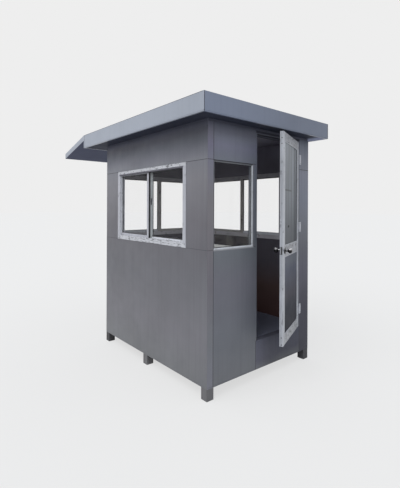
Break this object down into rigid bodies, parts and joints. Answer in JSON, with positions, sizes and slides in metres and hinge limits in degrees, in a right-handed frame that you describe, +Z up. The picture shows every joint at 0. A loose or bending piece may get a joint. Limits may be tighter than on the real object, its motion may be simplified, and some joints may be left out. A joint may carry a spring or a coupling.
{
  "type": "security guard booth",
  "caption": "Metal-clad guard booth on short feet with sliding windows, an outward-opening half-glazed door and a flat roof with a sloping rear visor.",
  "frame": {"origin": "the middle of the booth's plan at ground level, halfway between the visor's nose and the knob of the ajar door", "axes": "+Z up, +Y from the door wall towards the rear visor, +X to the right as seen facing the door wall"},
  "size_m": [1.834, 3.2758, 2.624],
  "materials": {
    "foot_steel": "matt grey paint, worn",
    "frame_steel": "matt primer",
    "floor_sheet": "blue-grey floor covering",
    "clear_glass": "clear",
    "window_aluminium": "off-white coating, scuffed",
    "door_aluminium": "satin",
    "door_sheet": "satin composite sheet",
    "hinge_metal": "satin",
    "knob_metal": "polished",
    "counter_board": "light grey laminate",
    "roof_cladding": "satin composite sheet",
    "soffit_sheet": "satin composite sheet",
    "roof_sheet": "satin sheet",
    "wall_cladding": "satin grey composite sheet"
  },
  "bodies": {
    "booth": {"ceiling_panel": "soffit_sheet", "counter": "counter_board", "door_frame": "door_aluminium", "floor_deck": "floor_sheet", "floor_joists": "frame_steel", "foot_front_left": "foot_steel", "foot_front_right": "foot_steel", "foot_middle_left": "foot_steel", "foot_middle_right": "foot_steel", "foot_rear_left": "foot_steel", "foot_rear_right": "foot_steel", "front_wall_header_strip": "wall_cladding", "front_wall_lower_panel": "wall_cladding", "front_wall_mullion_strip": "wall_cladding", "front_wall_right_pier": "wall_cladding", "front_wall_threshold_panel": "wall_cladding", "front_wall_upper_panel": "wall_cladding", "front_window_frame": "window_aluminium", "front_window_pane": "clear_glass", "hinge_fixed_halves": "hinge_metal", "left_wall_lower_panel": "wall_cladding", "left_wall_piers": "wall_cladding", "left_wall_upper_panel": "wall_cladding", "left_window_frame": "window_aluminium", "left_window_inner_sash": "window_aluminium", "left_window_outer_sash": "window_aluminium", "left_window_panes": "clear_glass", "rear_visor": "roof_cladding", "rear_wall_lower_panel": "wall_cladding", "rear_wall_piers": "wall_cladding", "rear_wall_upper_panel": "wall_cladding", "rear_window_frame": "window_aluminium", "rear_window_inner_sash": "window_aluminium", "rear_window_outer_sash": "window_aluminium", "rear_window_panes": "clear_glass", "right_wall_lower_panel": "wall_cladding", "right_wall_piers": "wall_cladding", "right_wall_upper_panel": "wall_cladding", "right_window_frame": "window_aluminium", "right_window_inner_sash": "window_aluminium", "right_window_outer_sash": "window_aluminium", "right_window_panes": "clear_glass", "roof_deck": "roof_sheet", "roof_fascia_front": "roof_cladding", "roof_fascia_left": "roof_cladding", "roof_fascia_rear": "roof_cladding", "roof_fascia_right": "roof_cladding", "roof_soffit": "soffit_sheet"},
    "door": {"door_leaf_frame": "door_aluminium", "door_glass": "clear_glass", "door_lower_panel": "door_sheet", "door_roses": "knob_metal", "hinge_door_halves": "hinge_metal"},
    "knobs": {"door_knobs": "knob_metal"}
  },
  "joints": [
    {"name": "door_swing", "type": "hinge", "parent": "booth", "child": "door", "pos_m": [0.574, -1.33268, 0], "axis": [0, 0, 1], "range_deg": [-23.5, 146.5]},
    {"name": "knob_turn", "type": "hinge", "parent": "door", "child": "knobs", "pos_m": [-0.00586, -1.55646, 1.28], "axis": [0.3987, -0.9171, 0], "range_deg": [-60, 60], "stiffness_Nm_per_rad": 0.3}
  ]
}
